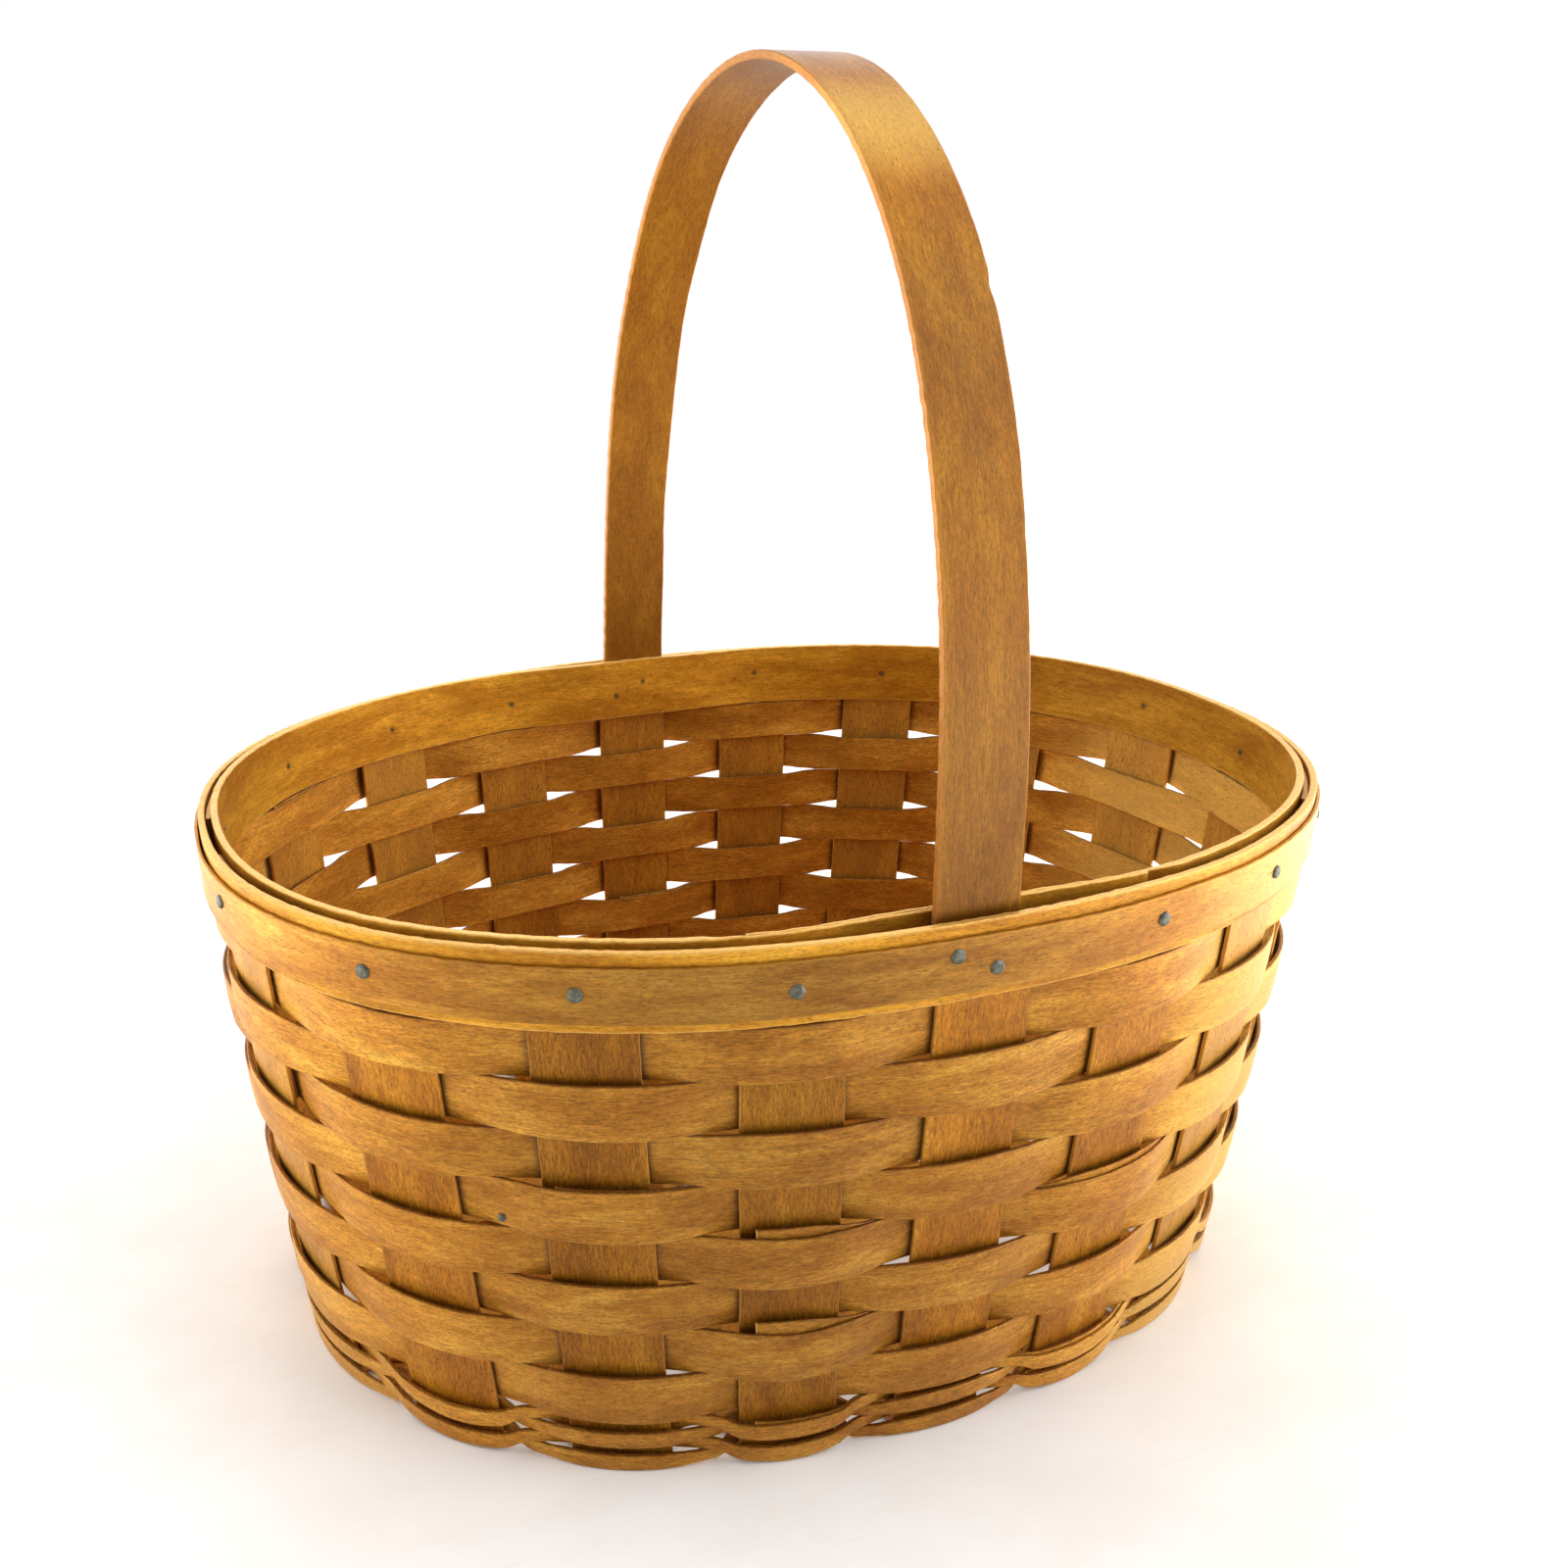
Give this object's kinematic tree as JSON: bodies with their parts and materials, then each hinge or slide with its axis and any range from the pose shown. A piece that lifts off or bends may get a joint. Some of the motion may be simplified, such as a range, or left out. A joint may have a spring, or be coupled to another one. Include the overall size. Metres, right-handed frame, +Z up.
{
  "type": "market basket",
  "caption": "Oval market basket woven from flat wood splints, with doubled rim bands fixed by steel tacks and a fixed bentwood handle arched across its width.",
  "frame": {"origin": "middle of the underside, on the surface that the basket stands on", "axes": "+X along the long side of the oval, +Y across the basket in the handle's plane, +Z up"},
  "size_m": [0.3776, 0.262, 0.393],
  "materials": {
    "splint_wood": "satin varnish, fine grain",
    "weaver_wood": "satin varnish, fine grain",
    "band_wood": "satin varnish, pale cut edges",
    "trim_wood": "satin varnish, pale cut edges",
    "handle_wood": "satin varnish, cloudy stain",
    "tack_steel": "dull bare steel"
  },
  "bodies": {
    "root": {"cross_splint_1": "splint_wood", "cross_splint_2": "splint_wood", "cross_splint_3": "splint_wood", "cross_splint_4": "splint_wood", "cross_splint_5": "splint_wood", "cross_splint_6": "splint_wood", "cross_splint_7": "splint_wood", "long_splint_1": "splint_wood", "long_splint_2": "splint_wood", "weaver_row_1": "weaver_wood", "weaver_row_2": "weaver_wood", "weaver_row_3": "weaver_wood", "weaver_row_4": "weaver_wood", "weaver_row_5": "weaver_wood", "weaver_row_6": "weaver_wood", "weaver_row_7": "weaver_wood", "weaver_row_8": "weaver_wood", "weaver_row_9": "weaver_wood", "weaver_row_10": "weaver_wood", "weaver_row_11": "weaver_wood", "weaver_row_12": "weaver_wood", "inner_band": "band_wood", "outer_band": "band_wood", "trim_strip": "trim_wood", "handle": "handle_wood", "rim_tacks": "tack_steel", "handle_tacks": "tack_steel", "weaver_tack": "tack_steel"}
  },
  "joints": []
}
